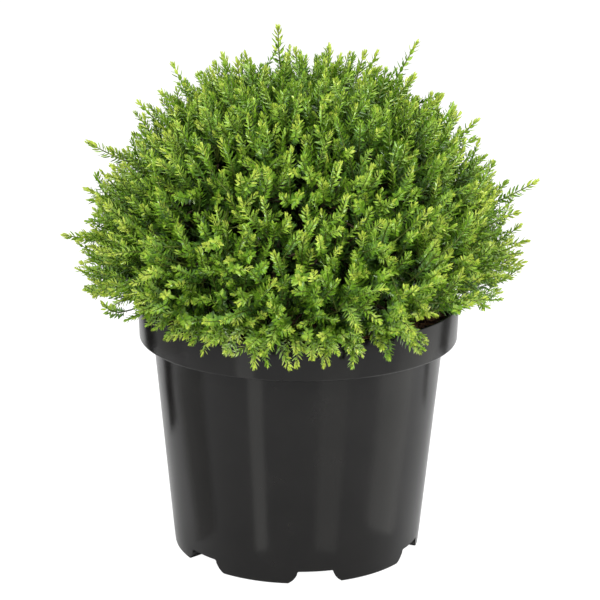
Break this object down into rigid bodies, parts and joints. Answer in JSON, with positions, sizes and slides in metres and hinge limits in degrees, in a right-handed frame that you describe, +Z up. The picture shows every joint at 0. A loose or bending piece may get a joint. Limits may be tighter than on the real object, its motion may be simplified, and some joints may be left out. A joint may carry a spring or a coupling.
{
  "type": "potted hebe shrub",
  "caption": "Compact dome-shaped evergreen hebe shrub with small bright green leaves, growing in a round black plastic nursery pot.",
  "frame": {"origin": "on the pot's axis, level with the flat undersides of its feet", "axes": "+Z up through the crown's top, -Y to the front of the plant, +X to the right seen from the front"},
  "size_m": [0.2784, 0.2782, 0.313],
  "materials": {
    "pot": "glossy moulded",
    "compost": "coarse and damp",
    "bark": "rough bark",
    "foliage": "satin leaves"
  },
  "bodies": {
    "root": {"pot": "pot", "compost": "compost", "stem": "bark", "bough_top": "bark", "bough_upper_1": "bark", "bough_upper_2": "bark", "bough_upper_3": "bark", "bough_upper_4": "bark", "bough_upper_5": "bark", "bough_upper_6": "bark", "bough_lower_1": "bark", "bough_lower_2": "bark", "bough_lower_3": "bark", "bough_lower_4": "bark", "bough_lower_5": "bark", "bough_lower_6": "bark", "bough_lower_7": "bark", "bough_lower_8": "bark", "foliage_top": "foliage", "foliage_upper_1": "foliage", "foliage_upper_2": "foliage", "foliage_upper_3": "foliage", "foliage_upper_4": "foliage", "foliage_upper_5": "foliage", "foliage_upper_6": "foliage", "foliage_lower_1": "foliage", "foliage_lower_2": "foliage", "foliage_lower_3": "foliage", "foliage_lower_4": "foliage", "foliage_lower_5": "foliage", "foliage_lower_6": "foliage", "foliage_lower_7": "foliage", "foliage_lower_8": "foliage"}
  },
  "joints": []
}
